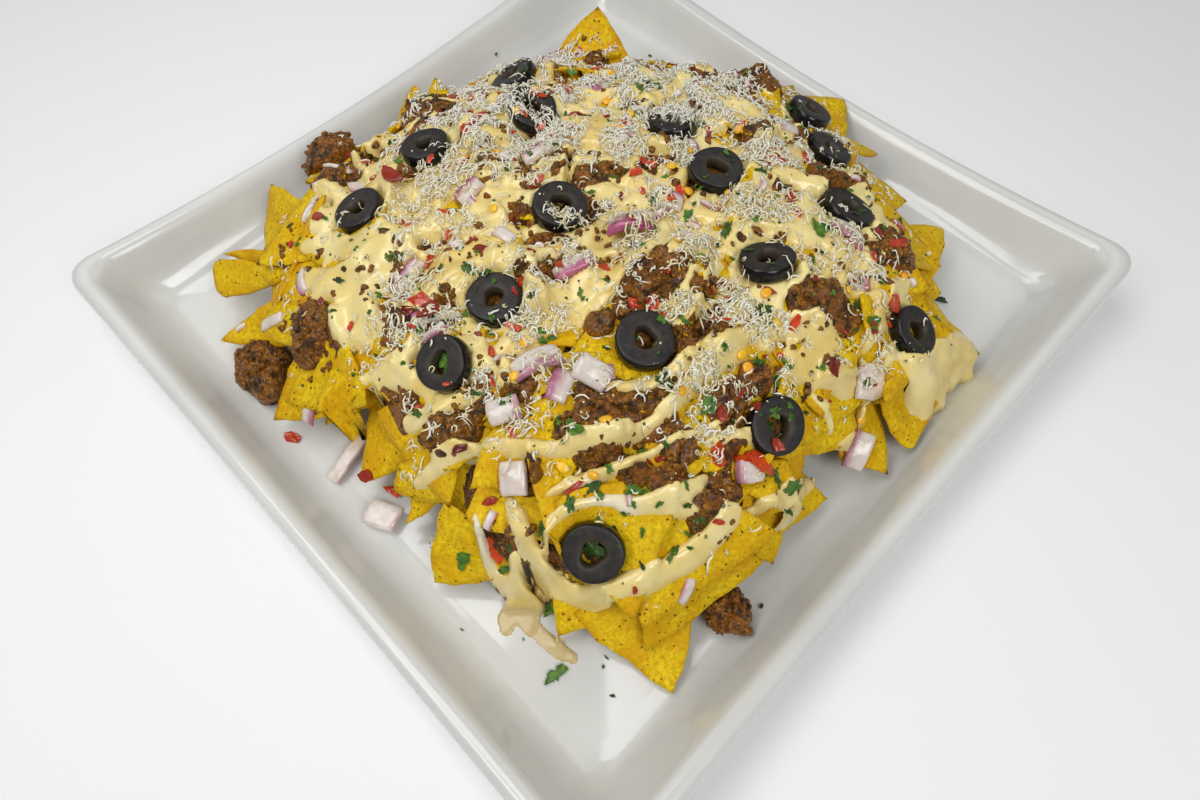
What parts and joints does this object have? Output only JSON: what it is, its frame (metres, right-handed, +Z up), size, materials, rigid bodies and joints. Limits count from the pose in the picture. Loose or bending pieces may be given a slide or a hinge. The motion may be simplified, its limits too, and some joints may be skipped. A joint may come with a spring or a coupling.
{
  "type": "nachos on a square plate",
  "caption": "Heap of yellow corn chips with crumbled beef, sauce, shredded cheese, olive slices, onion and parsley on a square white plate with upturned rims.",
  "frame": {"origin": "on the table, under the middle of the plate's foot ring", "axes": "+Z up; +X and +Y along the plate's sides; the corner at -X -Y is the one nearest the viewer in the reference view"},
  "size_m": [0.3, 0.3, 0.0755],
  "materials": {
    "glaze": "glossy white glaze",
    "chip": "dry golden corn chip, with sauce and cheese over it",
    "olive": "moist black olive",
    "onion": "moist red onion, white inside and purple outside",
    "beef": "cooked minced beef with a thin gravy",
    "herb": "chopped parsley leaf"
  },
  "bodies": {
    "root": {"beef_back": "beef", "beef_back_left": "beef", "beef_back_right": "beef", "beef_fallen": "beef", "beef_front": "beef", "beef_front_left": "beef", "beef_front_middle": "beef", "beef_left": "beef", "beef_left_back": "beef", "beef_left_front": "beef", "beef_middle": "beef", "beef_right": "beef", "beef_right_back": "beef", "beef_right_middle": "beef", "heap": "chip", "olive_1": "olive", "olive_10": "olive", "olive_11": "olive", "olive_12": "olive", "olive_13": "olive", "olive_14": "olive", "olive_15": "olive", "olive_16": "olive", "olive_17": "olive", "olive_2": "olive", "olive_3": "olive", "olive_4": "olive", "olive_5": "olive", "olive_6": "olive", "olive_7": "olive", "olive_8": "olive", "olive_9": "olive", "onion_1": "onion", "onion_10": "onion", "onion_11": "onion", "onion_12": "onion", "onion_13": "onion", "onion_14": "onion", "onion_15": "onion", "onion_16": "onion", "onion_17": "onion", "onion_18": "onion", "onion_19": "onion", "onion_2": "onion", "onion_3": "onion", "onion_4": "onion", "onion_5": "onion", "onion_6": "onion", "onion_7": "onion", "onion_8": "onion", "onion_9": "onion", "onion_fallen_piece": "onion", "onion_fallen_strip": "onion", "parsley_fallen": "herb", "plate": "glaze"}
  },
  "joints": []
}
